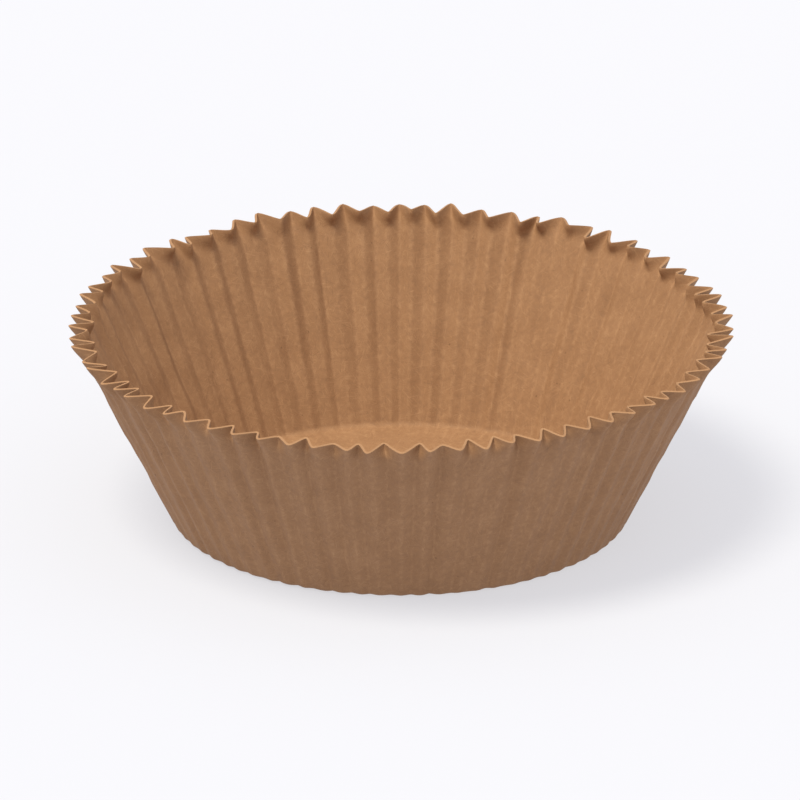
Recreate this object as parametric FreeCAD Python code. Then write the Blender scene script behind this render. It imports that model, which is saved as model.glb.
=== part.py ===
"""A fluted liner for baking a cupcake: brown paper, pressed into an open round cup.

The flat base turns up through a small bend into a wall that flares out to the rim. The wall takes
up its surplus paper in flutes: folds that begin in the bend, stay shallow for most of the wall
and deepen into a frill along the rim, which is trimmed level. The flutes' crests run straight up
the outside, and the troughs between them stand into the cup. Nothing is glued or joined, so the
liner is a single solid of even thickness.

One flute is built and repeated round the cup. Its faces are flat, as folded paper is: a flute's
side, which leans more towards the rim, is creased from corner to corner.

Millimetres, +Z up. The origin is the middle of the underside, which lies on Z = 0.
"""

import FreeCAD
import Part
import math
import os

# Driving dimensions
BASE_DIAMETER = 50.0  # where the lines of the base and the crests would meet
RIM_DIAMETER = 73.0  # over the crests
HEIGHT = 22.0  # from the underside to the rim
PAPER = 0.25  # thickness of the paper; both diameters are to its middle
BEND_RADIUS = 1.0  # from base to wall, along the middle of the paper
BEND_STEPS = 2  # bands of flat faces that make up the bend
FLUTES = 72  # crests round the wall, with as many troughs between them
START_DEPTH = 0.25  # of the flutes, crest to trough, where the wall leaves the bend
FRILL_DEPTH = 0.6  # where the frill begins
RIM_DEPTH = 1.9
FRILL_LENGTH = 2.6  # down the wall from the rim
FOLD_RADIUS = 0.4  # of a crest or a trough at the rim, along the middle of the paper
FOLD_STEPS = 1  # flat faces from the top of a fold to its side

# The middle of the paper in section, along a crest
WALL_RUN = (RIM_DIAMETER - BASE_DIAMETER) / 2
WALL_RISE = HEIGHT - PAPER / 2
WALL_SLOPE = math.atan2(WALL_RISE, WALL_RUN)
BEND_SETBACK = BEND_RADIUS * math.tan(WALL_SLOPE / 2)
BEND_START = BASE_DIAMETER / 2 - BEND_SETBACK
WALL_LENGTH = math.hypot(WALL_RUN, WALL_RISE) - BEND_SETBACK
FLAT_RADIUS = BEND_START + BEND_RADIUS * WALL_SLOPE + WALL_LENGTH

FLUTE_ANGLE = 2 * math.pi / FLUTES
RIM_HALF_PITCH = FLUTE_ANGLE * RIM_DIAMETER / 4
STEEPEST_LEAN = math.radians(80)
HALVINGS = 50  # steps of the search for the lean

CENTRE = FreeCAD.Vector(0, 0, 0)
UP = FreeCAD.Vector(0, 0, 1)
SIDEWAYS = FreeCAD.Vector(0, 1, 0)  # square to the plane of the first crest


def rim_lean():
    """Angle at which a flute's sides stand off the wall's line at the rim, for its depth there."""
    low = 0.0
    high = STEEPEST_LEAN
    for _ in range(HALVINGS):
        lean = (low + high) / 2
        side_across = RIM_HALF_PITCH - 2 * FOLD_RADIUS * math.sin(lean)
        if 2 * FOLD_RADIUS * (1 - math.cos(lean)) + side_across * math.tan(lean) < RIM_DEPTH:
            low = lean
        else:
            high = lean
    return lean


def half_flute_at_rim():
    """Corners of half a flute, crest to trough: across, in from the crest's line, and lean."""
    lean = rim_lean()
    crest = []
    for step in range(FOLD_STEPS + 1):
        turn = lean * step / FOLD_STEPS
        crest.append((FOLD_RADIUS * math.sin(turn), FOLD_RADIUS * (1 - math.cos(turn)), turn))
    trough = [(RIM_HALF_PITCH - across, RIM_DEPTH - inward, turn) for across, inward, turn in crest]
    return crest + trough[::-1]


HALF_FLUTE = half_flute_at_rim()


class Ring:
    """One row of corners round the cup: the crests' radius and height, the slope, the depth."""

    def __init__(self, radius, level, slope, depth, trimmed=False):
        self.radius = radius
        self.level = level
        self.slope = slope
        self.across_scale = radius / (RIM_DIAMETER / 2)
        self.depth_scale = depth / RIM_DEPTH
        self.trimmed = trimmed  # level, and not square to the wall

    def corners(self, skin):
        """Half a flute's corners on the ring, that far out from the middle of the paper."""
        return [self.corner(skin, *corner) for corner in HALF_FLUTE]

    def corner(self, skin, rim_across, rim_inward, rim_lean_there):
        lean = math.atan(math.tan(rim_lean_there) * self.depth_scale / self.across_scale)
        across = rim_across * self.across_scale + skin * math.sin(lean)
        out = skin * math.cos(lean) - rim_inward * self.depth_scale
        angle = across / self.radius
        reach = self.radius + out * math.sin(self.slope)
        height = self.level - out * math.cos(self.slope)
        if self.trimmed:
            reach = self.radius + out / math.sin(self.slope)
            height = self.level
        return FreeCAD.Vector(reach * math.cos(angle), reach * math.sin(angle), height)


def make_rings():
    """The rings from the edge of the flat base, round the bend and up to the rim."""
    rings = []
    for step in range(BEND_STEPS + 1):
        share = step / BEND_STEPS
        turn = WALL_SLOPE * share
        radius = BEND_START + BEND_RADIUS * math.sin(turn)
        level = PAPER / 2 + BEND_RADIUS * (1 - math.cos(turn))
        rings.append(Ring(radius, level, turn, START_DEPTH * share))
    frill_radius = RIM_DIAMETER / 2 - FRILL_LENGTH * math.cos(WALL_SLOPE)
    frill_level = HEIGHT - FRILL_LENGTH * math.sin(WALL_SLOPE)
    rings.append(Ring(frill_radius, frill_level, WALL_SLOPE, FRILL_DEPTH))
    rings.append(Ring(RIM_DIAMETER / 2, HEIGHT, WALL_SLOPE, RIM_DEPTH, trimmed=True))
    return rings


def flat_face(*corners):
    return Part.Face(Part.makePolygon([*corners, corners[0]]))


def band(lower, upper):
    """The faces between two rows of corners, creased from each lower crest side to the trough's."""
    faces = []
    for count in range(len(lower) - 1):
        faces.append(flat_face(lower[count], lower[count + 1], upper[count + 1]))
        faces.append(flat_face(lower[count], upper[count + 1], upper[count]))
    return faces


def make_half_flute(rings):
    """Both skins of the paper and its cut edge at the rim, from a crest to the next trough."""
    outside = [ring.corners(PAPER / 2) for ring in rings]
    inside = [ring.corners(-PAPER / 2) for ring in rings]
    faces = band(outside[-1], inside[-1])
    for skin in (outside, inside):
        for lower, upper in zip(skin, skin[1:]):
            faces.extend(band(lower, upper))
    return Part.Compound(faces)


def make_base(ring, skin):
    """One face of the flat base, cornered where the flutes' own faces start."""
    half = ring.corners(skin)
    other_half = [FreeCAD.Vector(corner.x, -corner.y, corner.z) for corner in reversed(half[1:])]
    edge = []
    for count in range(FLUTES):
        turn = FreeCAD.Rotation(UP, math.degrees(count * FLUTE_ANGLE))
        edge.extend(turn.multVec(corner) for corner in other_half + half[:-1])
    return flat_face(*edge)


def make_liner():
    """The base's two faces with the flutes round them, sewn into one closed solid."""
    rings = make_rings()
    faces = [make_base(rings[0], PAPER / 2), make_base(rings[0], -PAPER / 2)]
    half = make_half_flute(rings)
    flute = Part.Compound([half, half.mirror(CENTRE, SIDEWAYS)])
    for count in range(FLUTES):
        faces.extend(flute.rotated(CENTRE, UP, math.degrees(count * FLUTE_ANGLE)).Faces)
    shell = Part.Shell(faces)
    shell.sewShape()
    liner = Part.Solid(shell)
    if liner.Volume < 0:
        liner.reverse()
    return liner


def main():
    os.makedirs("parts", exist_ok=True)
    liner = make_liner()
    liner.exportStep("parts/liner.step")
    print("liner valid:", liner.isValid(), "closed:", liner.isClosed(), "faces:", len(liner.Faces))
    print("volume:", round(liner.Volume, 1), "area:", round(liner.Area, 1), liner.BoundBox)
    print("flat paper, base centre to rim:", round(FLAT_RADIUS, 1))


main()
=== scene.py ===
"""The liner as stiff brown baking paper, on a pale studio floor.

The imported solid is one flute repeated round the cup. A pressed paper liner is never that even: its
flutes differ a little in width and depth, its wall gives a little, its rim is ragged and the paper
is slightly crinkled. So one sheet of paper of the same sizes takes the solid's place. Its middle
is worked out as a grid that runs up the cup's section and round its flutes, and each point is then
set off to both sides by half the thickness of the paper.

The shape is worked out in millimetres and turned into metres where the mesh is made.
"""
import math

import bpy
import numpy as np
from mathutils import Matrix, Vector


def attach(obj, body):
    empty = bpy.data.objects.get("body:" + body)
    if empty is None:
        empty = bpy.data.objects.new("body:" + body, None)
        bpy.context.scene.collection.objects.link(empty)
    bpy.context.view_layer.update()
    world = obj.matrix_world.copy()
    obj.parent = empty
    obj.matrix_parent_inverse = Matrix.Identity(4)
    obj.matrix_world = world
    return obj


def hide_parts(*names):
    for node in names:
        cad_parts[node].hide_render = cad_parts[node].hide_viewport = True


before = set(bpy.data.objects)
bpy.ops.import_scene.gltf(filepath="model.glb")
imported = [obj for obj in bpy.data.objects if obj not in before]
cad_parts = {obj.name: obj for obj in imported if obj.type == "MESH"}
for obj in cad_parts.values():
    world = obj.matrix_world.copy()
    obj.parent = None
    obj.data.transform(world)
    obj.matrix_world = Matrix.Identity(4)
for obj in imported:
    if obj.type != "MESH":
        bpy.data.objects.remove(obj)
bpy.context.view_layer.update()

MM = 0.001  # metres
SEED = 7
ROUNDING = 1e-9  # more than what rounding takes from a whole number of flutes

# The cup, as in the solid
BASE_DIAMETER = 50.0  # where the lines of the base and the crests would meet
RIM_DIAMETER = 73.0  # over the crests
HEIGHT = 22.0
PAPER = 0.25  # both diameters are to its middle
BEND_RADIUS = 1.0
FLUTES = 72
START_DEPTH = 0.25  # of the flutes, crest to trough, where the wall leaves the bend
FRILL_DEPTH = 0.6  # where the frill along the rim begins
RIM_DEPTH = 1.9
FRILL_LENGTH = 2.6

# The section of the middle of the paper, along a crest
WALL_RUN = (RIM_DIAMETER - BASE_DIAMETER) / 2
WALL_RISE = HEIGHT - PAPER / 2
WALL_SLOPE = math.atan2(WALL_RISE, WALL_RUN)
BEND_SETBACK = BEND_RADIUS * math.tan(WALL_SLOPE / 2)
BEND_START = BASE_DIAMETER / 2 - BEND_SETBACK
BEND_LENGTH = BEND_RADIUS * WALL_SLOPE
WALL_LENGTH = math.hypot(WALL_RUN, WALL_RISE) - BEND_SETBACK

# The grid
FLUTE_COLUMNS = 16
COLUMNS = FLUTES * FLUTE_COLUMNS
FOLD_CROWDING = 0.2  # draws the columns of a flute towards its folds
CRIMP_REACH = 2.4  # of the flutes' first traces, inwards from the bend
CRIMP_ROWS = 4
BEND_ROWS = 6
WALL_ROWS = 16  # up to the frill
FRILL_ROWS = 7
EDGE_ROW = 0.15  # from the last row but one up to the rim
BASE_RINGS = (20.8, 18.6, 15.6, 12.0, 7.6, 3.4)  # each has half the points of the one round it
SHARP_ANGLE = math.radians(60)  # edges sharper than this, as at the cut, aren't shaded smooth

# How each fold of the pressed paper differs from the even solid
FOLD_SHARPNESS = 0.82  # 0 makes a smooth wave and 1 a sharp zigzag
CRIMP_DEPTH = 0.1  # of the flutes where the flat base meets the bend
FOLD_WANDER = 0.1  # of a fold to either side, in flutes
FRILL_WANDER = 0.17  # of its end at the rim, besides that
WALL_EASE = 0.35  # the share of their depth that the flutes have lost on the wall
WALL_SPREAD = 0.5  # of a fold's depth on the wall, as a share of it
DEPTH_SPREAD = 0.2  # of its depth at the rim
CREST_SPREAD = 0.17  # of a fold at the rim, in or out
RAGGED = 0.28  # of a fold's end at the rim, up or down

# How the whole cup differs from it, partly in slow waves that run round it
WALL_HOLLOW = 0.5  # how far in the wall stands where the frill begins to lean out
BASE_DOME = 0.3  # how high the middle of the base stands
RIM_LIFT = 0.22  # of the rim, up or down, in waves
RIM_WAVES = (2, 3, 4, 7, 11)  # to one turn of the cup
BULGE = 0.3  # of the wall, in or out, in waves
BULGE_WAVES = (2, 3, 4, 5)
TWIST = math.radians(0.35)  # of the flutes' ends round the cup, to either side, in waves
TWIST_WAVES = (2, 3, 5, 8)
WAVE_STRENGTHS = (0.5, 1.0)  # the least and the most that one of these waves has
CRINKLE = 0.045  # the usual height of the crinkles
CRINKLE_WAVES = 40  # which they are made up of, in all directions
CRINKLE_LENGTHS = (2.5, 11.0)  # of the shortest and the longest of them
CRINKLE_RISE = 3  # brings the crinkles to their full height a third of the way up the wall

# The paper's grain, in millimetres on the flat paper
SIDE_APART = 4.0  # keeps the grain of its two sides different
CLOUD = (0.28, 2.0)  # wide soft patches: how many to a millimetre, and their detail
MOTTLE = (1.5, 4.0)  # smaller ones
TOOTH = (9.0, 2.0)  # the smallest
FIBRE_LENGTH = 1.5
FIBRE_WIDTH = 0.09
FIBRE_DETAIL = 1.0
FIBRE_CURL = 0.7
FIBRE_SHIFT = 17.0  # sets the fibres of one heading apart from those of the next
PALE_HEADINGS = (12, 74, 131)  # degrees
DARK_HEADINGS = (43, 101, 164)
PALE_RANGE = (0.6, 0.74)  # of the noise that makes the fibres, from none to a full one
DARK_RANGE = (0.62, 0.76)
SPECKS_PER_MM = 0.9  # cells of the net that the specks lie in
SPECK_SHARE = 0.35  # of the cells that have one
SPECK_SIZE = 0.12  # radius of the largest, in cells
SPECK_EDGE = SPECK_SIZE / 3  # softens their outline
FOLD_START = 0.84  # the share of a crest or a trough from which a fold is marked
FOLD_BREAKS = (0.35, 0.6)  # of the mottle, from a gap in the mark to a full one

# The paper's tone, from 0 where it is dark to 1 where it is pale, and what each part adds to it
MIDDLE_TONE = 0.5
NOISE_MEAN = 0.5  # of the cloud, the mottle and the tooth
CLOUD_TONE = 0.26
MOTTLE_TONE = 0.36
TOOTH_TONE = 0.22
FIBRE_TONE = 0.18  # of the pale fibres; the dark ones take as much away
SPECK_TONE = -0.36
FOLD_TONE = 0.07
CUT_TONE = 0.1
PAPER_COLOUR = (0.272, 0.142, 0.07)
PAPER_DARK = (0.153, 0.075, 0.036)
PAPER_PALE = (0.424, 0.244, 0.129)

# The paper's surface
ROUGHNESS = (0.66, 0.82)
ROUGHNESS_RANGE = (0.3, 0.7)  # of the mottle, from the least roughness to the most
SPECULAR = 0.25
RELIEF = 0.05
RELIEF_STRENGTH = 0.5
MOTTLE_RELIEF = 0.9
TOOTH_RELIEF = 0.35
FIBRE_RELIEF = 0.22

# The picture: the camera looks along +Y and down, without perspective
CAMERA_ELEVATION = math.radians(22.0)
CAMERA_TARGET = Vector((0, 0, 13.35)) * MM
CAMERA_DISTANCE = 0.6
PICTURE_WIDTH = 88.3 * MM
KEY_TOWARD = Vector((-0.31, -0.22, 0.925))  # from the cup to the light
KEY_ANGLE = math.radians(24)  # how wide the light is, which softens its shadows
KEY_STRENGTH = 3.45
KEY_COLOUR = (1.0, 0.945, 0.76)
SKY_COLOUR = (0.99, 0.99, 1.0)
SKY_STRENGTH = 1.0
BACKDROP_COLOUR = (0.956, 0.947, 0.973)
FLOOR_COLOUR = (0.185, 0.191, 0.22)
FLOOR_ROUGHNESS = 0.9
FLOOR_GLOW = 0.62  # the share of the floor's light that comes from inside it, as on a light table
FLOOR_HALF_SIZE = 1.5
FLOOR_DROP = 0.02 * MM  # keeps the floor out of the plane of the paper's underside


def smooth_step(share):
    share = np.clip(share, 0.0, 1.0)
    return share * share * (3 - 2 * share)


def dome(radius):
    """How far the base stands above its edge at that radius."""
    return BASE_DOME * np.cos(math.pi / 2 * np.minimum(radius / BEND_START, 1.0)) ** 2


def rounded(angle, radius):
    return [radius * np.cos(angle), radius * np.sin(angle)]


def round_trip(random, angle, waves):
    """A slow change round the cup that meets itself, within -1 and 1."""
    total = np.zeros_like(angle)
    for count in waves:
        strength = random.uniform(*WAVE_STRENGTHS)
        total += strength * np.sin(count * angle + random.uniform(0, 2 * math.pi))
    return total / len(waves)


class Crinkle:
    """Shallow waves in all directions over the flat paper."""

    def __init__(self, random):
        self.heading = random.uniform(0, math.pi, CRINKLE_WAVES)
        self.pace = 2 * math.pi / random.uniform(*CRINKLE_LENGTHS, CRINKLE_WAVES)
        self.start = random.uniform(0, 2 * math.pi, CRINKLE_WAVES)

    def at(self, across, along):
        total = np.zeros_like(across)
        for heading, pace, start in zip(self.heading, self.pace, self.start):
            total += np.sin(pace * (across * math.cos(heading) + along * math.sin(heading)) + start)
        return CRINKLE * total * math.sqrt(2 / CRINKLE_WAVES)


class Section:
    """The rows from the edge of the flat base up to the rim: the middle of the even paper."""

    def __init__(self):
        crimp = np.linspace(-CRIMP_REACH, 0, CRIMP_ROWS, endpoint=False)
        bend = np.linspace(0, BEND_LENGTH, BEND_ROWS, endpoint=False)
        wall = np.linspace(0, WALL_LENGTH - FRILL_LENGTH, WALL_ROWS, endpoint=False)
        frill = np.linspace(WALL_LENGTH - FRILL_LENGTH, WALL_LENGTH - EDGE_ROW, FRILL_ROWS)
        up_wall = np.concatenate([wall, frill, [WALL_LENGTH]])
        along = np.concatenate([crimp, bend, BEND_LENGTH + up_wall])
        up_wall = np.maximum(along - BEND_LENGTH, 0)
        bend_share = np.clip(along / BEND_LENGTH, 0, 1)
        wall_share = np.minimum(up_wall / (WALL_LENGTH - FRILL_LENGTH), 1)

        self.turn = WALL_SLOPE * bend_share
        self.radius = BEND_START + np.minimum(along, 0) + BEND_RADIUS * np.sin(self.turn)
        self.radius += up_wall * math.cos(WALL_SLOPE)
        self.level = PAPER / 2 + BEND_RADIUS * (1 - np.cos(self.turn))
        self.level += up_wall * math.sin(WALL_SLOPE) + dome(BEND_START + along)
        self.flat_radius = BEND_START + along
        self.share = up_wall / WALL_LENGTH
        self.frill_share = smooth_step((up_wall - WALL_LENGTH + FRILL_LENGTH) / FRILL_LENGTH)
        self.depth = CRIMP_DEPTH * smooth_step(1 + along / CRIMP_REACH)
        self.depth += (START_DEPTH - CRIMP_DEPTH) * bend_share
        self.depth += (FRILL_DEPTH - START_DEPTH) * wall_share
        self.depth += (RIM_DEPTH - FRILL_DEPTH) * self.frill_share
        self.hollow = WALL_HOLLOW * wall_share * (1 - self.frill_share)


class Folds:
    """Every column's place between its crest and its trough."""

    def __init__(self):
        turn = 2 * math.pi * np.arange(COLUMNS) / FLUTE_COLUMNS
        turn -= FOLD_CROWDING * np.sin(2 * turn)
        self.angle = turn / FLUTES
        swing = np.arcsin(FOLD_SHARPNESS * np.cos(turn)) / math.asin(FOLD_SHARPNESS)
        self.crest_share = (1 + swing) / 2
        place = turn / (2 * math.pi)
        self.crest = np.round(place).astype(int) % FLUTES
        self.trough = np.floor(place + ROUNDING).astype(int) % FLUTES

    def spread(self, random, amount, linked=False):
        """A random number for each fold, from minus to plus the amount, blended between folds.

        Linked numbers differ by no more than the amount from one fold to the next.
        """
        numbers = random.uniform(-amount, amount, 2 * FLUTES)
        if linked:
            numbers = (numbers + np.roll(numbers, 1)) / 2
        crests = numbers[0::2][self.crest]
        troughs = numbers[1::2][self.trough]
        return self.crest_share * crests + (1 - self.crest_share) * troughs


class Paper:
    """The middle of the pressed paper: its points by row and column, and their flat places."""

    def __init__(self, random):
        section = Section()
        folds = Folds()
        self.crinkle = Crinkle(random)
        self.crest_share = folds.crest_share
        self.flat = np.stack(rounded(folds.angle, section.flat_radius[:, None]), axis=-1)

        share = section.share[:, None]
        frill_share = section.frill_share[:, None]
        wander = folds.spread(random, FOLD_WANDER, linked=True)
        wander = wander + folds.spread(random, FRILL_WANDER, linked=True) * frill_share
        twist = TWIST * round_trip(random, folds.angle, TWIST_WAVES)
        angle = folds.angle + wander * 2 * math.pi / FLUTES + twist * share

        # How far each point stands out from the line of the even crests, square to the wall
        wall_spread = folds.spread(random, WALL_SPREAD) - WALL_EASE
        spread = wall_spread + (folds.spread(random, DEPTH_SPREAD) - wall_spread) * frill_share
        depth = section.depth[:, None] * (1 + spread)
        out = -depth * (1 - folds.crest_share) + folds.spread(random, CREST_SPREAD) * share
        out -= section.hollow[:, None]
        crinkle = self.crinkle.at(self.flat[..., 0], self.flat[..., 1])
        out += crinkle * smooth_step(CRINKLE_RISE * share)
        bulge = BULGE * round_trip(random, folds.angle, BULGE_WAVES) * smooth_step(share)

        # Square to the wall, the troughs would reach over the rim, so it is trimmed level
        turn = section.turn[:, None]
        lift = folds.spread(random, RAGGED)
        lift = lift + RIM_LIFT * round_trip(random, folds.angle, RIM_WAVES)
        lift = (lift + out / math.tan(WALL_SLOPE)) * share ** 2
        radius = section.radius[:, None] + (out + bulge) * np.sin(turn) + lift * np.cos(turn)
        level = section.level[:, None] - out * np.cos(turn) + lift * np.sin(turn)
        self.points = np.stack([*rounded(angle, radius), level], axis=-1)

    def outward(self):
        """The direction out of the cup at every point."""
        round_cup = np.roll(self.points, -1, axis=1) - np.roll(self.points, 1, axis=1)
        normal = np.cross(round_cup, np.gradient(self.points, axis=0))
        return normal / np.linalg.norm(normal, axis=-1, keepdims=True)


class Skins:
    """The points and faces of the closed sheet, made from both sides of the paper."""

    def __init__(self, paper):
        self.points = []
        self.grain = []
        self.place = []
        self.faces = []
        self.count = 0
        outside = self.add_skin(paper, True)
        inside = self.add_skin(paper, False)
        self.join(outside, inside, True)

    def add_ring(self, points, flat, side, crest_share, on_cut=0.0):
        """Adds a ring of points, with what the material reads from them. Returns their numbers."""
        count = len(points)
        self.points.append(points)
        self.grain.append(np.column_stack([flat, np.full(count, side * SIDE_APART)]))
        self.place.append(np.column_stack([crest_share, np.full(count, on_cut), np.zeros(count)]))
        self.count += count
        return np.arange(self.count - count, self.count)

    def join(self, lower, upper, outside):
        """Faces between two rings of as many points."""
        corners = [lower, np.roll(lower, -1), np.roll(upper, -1), upper]
        self.add_faces(corners, outside)

    def halve(self, outer, inner, outside):
        """Faces from a ring to the one in it, which has half as many points."""
        here = outer[0::2]
        between = outer[1::2]
        beyond = np.roll(here, -1)
        after = np.roll(inner, -1)
        self.add_faces([between, here, inner], outside)
        self.add_faces([between, inner, after], outside)
        self.add_faces([between, after, beyond], outside)

    def add_faces(self, corners, outside):
        self.faces.extend(np.column_stack(corners if outside else corners[::-1]).tolist())

    def add_skin(self, paper, outside):
        """One side of the paper, from the rim to the middle of the base. Returns the rim's ring."""
        side = 1 if outside else -1
        points = paper.points + paper.outward() * side * PAPER / 2
        rings = []
        for row, flat in zip(points[:-1], paper.flat[:-1]):
            rings.append(self.add_ring(row, flat, side, paper.crest_share))
        rings.append(self.add_ring(points[-1], paper.flat[-1], side, paper.crest_share, on_cut=1.0))
        for lower, upper in zip(rings, rings[1:]):
            self.join(lower, upper, outside)
        outer = rings[0]
        for radius in BASE_RINGS:
            inner = self.add_base_ring(paper, radius, len(outer) // 2, side)
            self.halve(outer, inner, outside)
            outer = inner
        self.faces.append(outer.tolist()[::-side])
        return rings[-1]

    def add_base_ring(self, paper, radius, count, side):
        """A ring of the flat base, which is halfway between crest and trough all round."""
        flat = np.column_stack(rounded(np.arange(count) * 2 * math.pi / count, radius))
        level = PAPER / 2 + dome(radius) + paper.crinkle.at(flat[:, 0], flat[:, 1])
        level = np.maximum(level, PAPER / 2) - side * PAPER / 2
        return self.add_ring(np.column_stack([flat, level]), flat, side, np.full(count, 0.5))


def add_attribute(mesh, name, vectors):
    attribute = mesh.attributes.new(name, "FLOAT_VECTOR", "POINT")
    attribute.data.foreach_set("vector", vectors.astype(np.float32).ravel())


def add_liner(material):
    skins = Skins(Paper(np.random.default_rng(SEED)))
    mesh = bpy.data.meshes.new("pressed_paper")
    mesh.from_pydata(np.concatenate(skins.points) * MM, [], skins.faces)
    add_attribute(mesh, "grain", np.concatenate(skins.grain))
    add_attribute(mesh, "place", np.concatenate(skins.place))
    mesh.materials.append(material)
    mesh.validate()
    mesh.shade_smooth()
    mesh.set_sharp_from_angle(angle=SHARP_ANGLE)
    liner = bpy.data.objects.new("pressed_paper", mesh)
    bpy.context.scene.collection.objects.link(liner)
    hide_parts("liner")
    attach(liner, "root")


def add_node(tree, kind, sockets=None, **settings):
    """A node with its settings, and with its sockets linked or set to a constant."""
    node = tree.nodes.new(kind)
    for name, value in settings.items():
        setattr(node, name, value)
    for name, value in (sockets or {}).items():
        if isinstance(value, bpy.types.NodeSocket):
            tree.links.new(value, node.inputs[name])
        else:
            node.inputs[name].default_value = value
    return node


def new_material(name):
    material = bpy.data.materials.new(name)
    material.use_nodes = True
    tree = material.node_tree
    tree.nodes.clear()
    shader = add_node(tree, "ShaderNodeBsdfPrincipled")
    add_node(tree, "ShaderNodeOutputMaterial", {"Surface": shader.outputs["BSDF"]})
    return material, tree, shader


def blend(tree, kind, first, second):
    """Two values, each a socket or a number, put together."""
    return add_node(tree, "ShaderNodeMath", {0: first, 1: second}, operation=kind).outputs[0]


def add_up(tree, start, parts):
    """The start with each part, times its weight, added to it."""
    total = start
    for part, weight in parts:
        total = blend(tree, "ADD", total, blend(tree, "MULTIPLY", part, weight))
    return total


def spread_out(tree, value, start, end, low=0.0, high=1.0):
    """The value's range from start to end, stretched smoothly to run from low to high."""
    sockets = {"Value": value, "From Min": start, "From Max": end, "To Min": low, "To Max": high}
    node = add_node(tree, "ShaderNodeMapRange", sockets, interpolation_type="SMOOTHSTEP")
    return node.outputs["Result"]


def read_attribute(tree, name):
    return add_node(tree, "ShaderNodeAttribute", attribute_name=name).outputs["Vector"]


def noise(tree, grain, scale, detail, distortion=0.0):
    sockets = {"Vector": grain, "Scale": scale, "Detail": detail, "Distortion": distortion}
    return add_node(tree, "ShaderNodeTexNoise", sockets).outputs["Fac"]


def fibres(tree, grain, headings, noise_range):
    """Short threads that lie in the paper in a few directions, from 0 between them to 1 on them."""
    total = None
    for count, heading in enumerate(headings):
        turned = {
            "Vector": grain,
            "Location": (FIBRE_SHIFT * (count + 1), FIBRE_SHIFT * heading, 0),
            "Rotation": (0, 0, math.radians(heading)),
            "Scale": (FIBRE_LENGTH, FIBRE_WIDTH, 1),
        }
        laid = add_node(tree, "ShaderNodeMapping", turned, vector_type="TEXTURE").outputs["Vector"]
        threads = spread_out(tree, noise(tree, laid, 1.0, FIBRE_DETAIL, FIBRE_CURL), *noise_range)
        total = threads if total is None else blend(tree, "MAXIMUM", total, threads)
    return total


def specks(tree, grain):
    """Small round bits of bark, from 0 between them to 1 in them. Most cells have none."""
    cells = add_node(tree, "ShaderNodeTexVoronoi", {"Vector": grain, "Scale": SPECKS_PER_MM})
    channels = add_node(tree, "ShaderNodeSeparateColor", {"Color": cells.outputs["Color"]})
    size = spread_out(tree, channels.outputs["Red"], 1 - SPECK_SHARE, 1.0, 0.0, SPECK_SIZE)
    inside = blend(tree, "SUBTRACT", size, cells.outputs["Distance"])
    return spread_out(tree, inside, 0.0, SPECK_EDGE)


def fold_marks(tree, crest_share, mottle):
    """Broken lines along the crests and the troughs, from 0 beside them to 1 on them."""
    trough_share = blend(tree, "SUBTRACT", 1.0, crest_share)
    lines = spread_out(tree, blend(tree, "MAXIMUM", crest_share, trough_share), FOLD_START, 1.0)
    return blend(tree, "MULTIPLY", lines, spread_out(tree, mottle, *FOLD_BREAKS))


def paper_material():
    material, tree, shader = new_material("brown_paper")
    grain = read_attribute(tree, "grain")
    place = add_node(tree, "ShaderNodeSeparateXYZ", {"Vector": read_attribute(tree, "place")})
    crest_share = place.outputs["X"]
    on_cut = place.outputs["Y"]
    cloud = noise(tree, grain, *CLOUD)
    mottle = noise(tree, grain, *MOTTLE)
    tooth = noise(tree, grain, *TOOTH)
    pale = fibres(tree, grain, PALE_HEADINGS, PALE_RANGE)
    dark = fibres(tree, grain, DARK_HEADINGS, DARK_RANGE)

    tone = add_up(tree, MIDDLE_TONE - NOISE_MEAN * (CLOUD_TONE + MOTTLE_TONE + TOOTH_TONE), (
        (cloud, CLOUD_TONE),
        (mottle, MOTTLE_TONE),
        (tooth, TOOTH_TONE),
        (pale, FIBRE_TONE),
        (dark, -FIBRE_TONE),
        (specks(tree, grain), SPECK_TONE),
        (fold_marks(tree, crest_share, mottle), FOLD_TONE),
        (on_cut, CUT_TONE),
    ))
    ramp = add_node(tree, "ShaderNodeValToRGB", {"Fac": tone})
    stops = ramp.color_ramp.elements
    stops[0].color = (*PAPER_DARK, 1)
    stops[1].color = (*PAPER_PALE, 1)
    stops.new(MIDDLE_TONE).color = (*PAPER_COLOUR, 1)
    tree.links.new(ramp.outputs["Color"], shader.inputs["Base Color"])

    roughness = spread_out(tree, mottle, *ROUGHNESS_RANGE, *ROUGHNESS)
    tree.links.new(roughness, shader.inputs["Roughness"])
    shader.inputs["Specular IOR Level"].default_value = SPECULAR

    relief = add_up(tree, 0.0, (
        (mottle, MOTTLE_RELIEF),
        (tooth, TOOTH_RELIEF),
        (pale, FIBRE_RELIEF),
    ))
    sockets = {"Height": relief, "Strength": RELIEF_STRENGTH, "Distance": RELIEF * MM}
    bump = add_node(tree, "ShaderNodeBump", sockets)
    tree.links.new(bump.outputs["Normal"], shader.inputs["Normal"])
    return material


def floor_material():
    material, tree, shader = new_material("studio_floor")
    shader.inputs["Base Color"].default_value = (*FLOOR_COLOUR, 1)
    shader.inputs["Roughness"].default_value = FLOOR_ROUGHNESS
    shader.inputs["Specular IOR Level"].default_value = 0.0
    shader.inputs["Emission Color"].default_value = (*BACKDROP_COLOUR, 1)
    shader.inputs["Emission Strength"].default_value = FLOOR_GLOW
    return material


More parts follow.
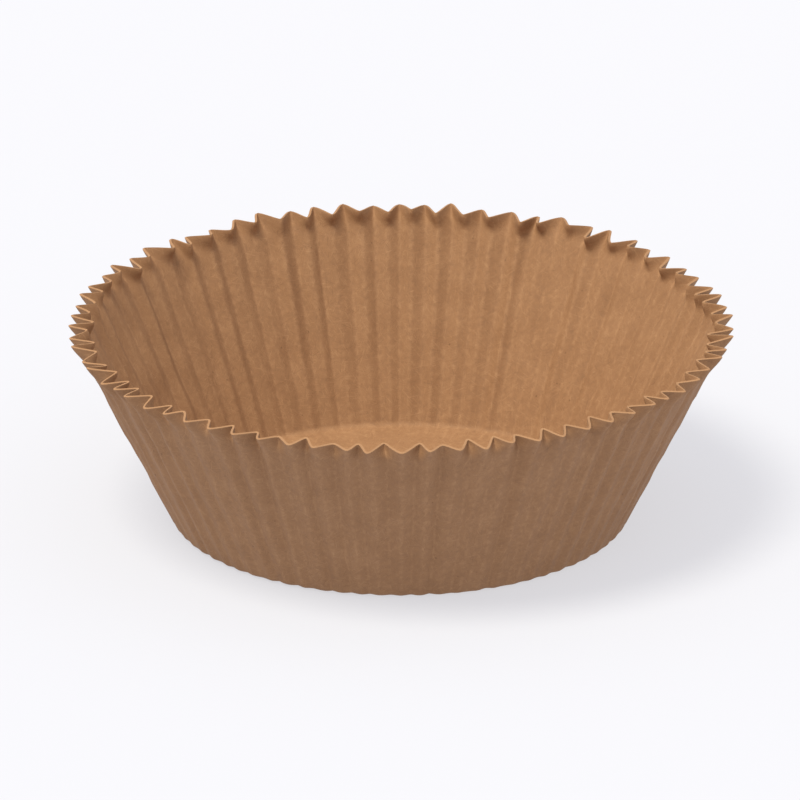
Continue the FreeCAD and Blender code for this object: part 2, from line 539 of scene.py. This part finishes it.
def add_camera():
    camera = bpy.data.objects.new("camera", bpy.data.cameras.new("camera"))
    bpy.context.scene.collection.objects.link(camera)
    camera.data.type = "ORTHO"
    camera.data.ortho_scale = PICTURE_WIDTH
    back = Vector((0, -math.cos(CAMERA_ELEVATION), math.sin(CAMERA_ELEVATION)))
    camera.location = CAMERA_TARGET + back * CAMERA_DISTANCE
    camera.rotation_euler = (math.pi / 2 - CAMERA_ELEVATION, 0, 0)
    bpy.context.scene.camera = camera


def add_floor():
    mesh = bpy.data.meshes.new("studio_floor")
    half = FLOOR_HALF_SIZE
    corners = [(-half, -half), (half, -half), (half, half), (-half, half)]
    mesh.from_pydata([(*corner, -FLOOR_DROP) for corner in corners], [], [(0, 1, 2, 3)])
    mesh.materials.append(floor_material())
    floor = bpy.data.objects.new("studio_floor", mesh)
    bpy.context.scene.collection.objects.link(floor)


def add_key_light():
    key = bpy.data.objects.new("key_light", bpy.data.lights.new("key_light", "SUN"))
    key.data.energy = KEY_STRENGTH
    key.data.color = KEY_COLOUR
    key.data.angle = KEY_ANGLE
    key.rotation_mode = "QUATERNION"
    key.rotation_quaternion = KEY_TOWARD.to_track_quat("Z", "Y")
    bpy.context.scene.collection.objects.link(key)


def add_sky():
    """Soft light from all sides, with a plain backdrop where the camera sees past the floor."""
    world = bpy.data.worlds.new("studio")
    world.use_nodes = True
    tree = world.node_tree
    tree.nodes.clear()
    light = {"Color": (*SKY_COLOUR, 1), "Strength": SKY_STRENGTH}
    sky = add_node(tree, "ShaderNodeBackground", light)
    backdrop = add_node(tree, "ShaderNodeBackground", {"Color": (*BACKDROP_COLOUR, 1)})
    rays = add_node(tree, "ShaderNodeLightPath")
    mixed = add_node(tree, "ShaderNodeMixShader", {0: rays.outputs["Is Camera Ray"]})
    tree.links.new(sky.outputs["Background"], mixed.inputs[1])
    tree.links.new(backdrop.outputs["Background"], mixed.inputs[2])
    add_node(tree, "ShaderNodeOutputWorld", {"Surface": mixed.outputs["Shader"]})
    bpy.context.scene.world = world


def main():
    bpy.context.scene.view_settings.view_transform = "Standard"
    add_camera()
    add_liner(paper_material())
    add_floor()
    add_key_light()
    add_sky()
    bpy.context.view_layer.update()


main()
